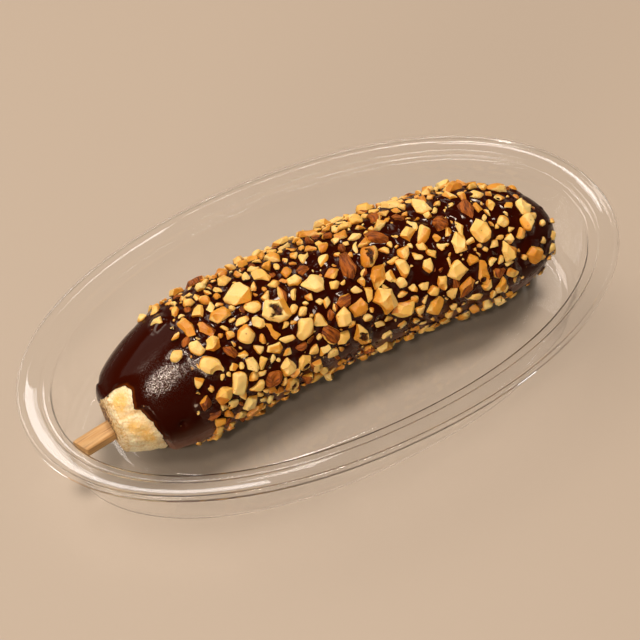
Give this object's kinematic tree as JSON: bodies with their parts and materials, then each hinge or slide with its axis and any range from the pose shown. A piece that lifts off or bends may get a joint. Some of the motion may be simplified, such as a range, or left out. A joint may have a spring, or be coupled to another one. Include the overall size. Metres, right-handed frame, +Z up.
{
  "type": "chocolate dipped banana on a stick in a clear dish",
  "caption": "Peeled banana on a flat wooden stick, dipped in dark chocolate and rolled in chopped nuts, bare at the stick end, lying in a clear oval dish with a stepped rim.",
  "frame": {"origin": "centre of the dish's outline, on the table under its base", "axes": "+X along the dish from the stick end to the banana's tip, +Y across the dish, +Z up out of the dish"},
  "size_m": [0.216, 0.1222, 0.0531],
  "materials": {
    "clear_plastic": "clear glossy thin plastic, smooth, with a faint line along each fold",
    "stick_wood": "bare pale wood with fine grain along its length, matte",
    "banana_flesh": "moist pale yellow fruit flesh, browner at the seams, soft sheen",
    "chocolate": "dark glossy chocolate under pale cream and golden chopped nuts with matte cut faces"
  },
  "bodies": {
    "root": {"dish": "clear_plastic", "stick": "stick_wood", "banana": "banana_flesh", "chocolate_coat": "chocolate"}
  },
  "joints": []
}
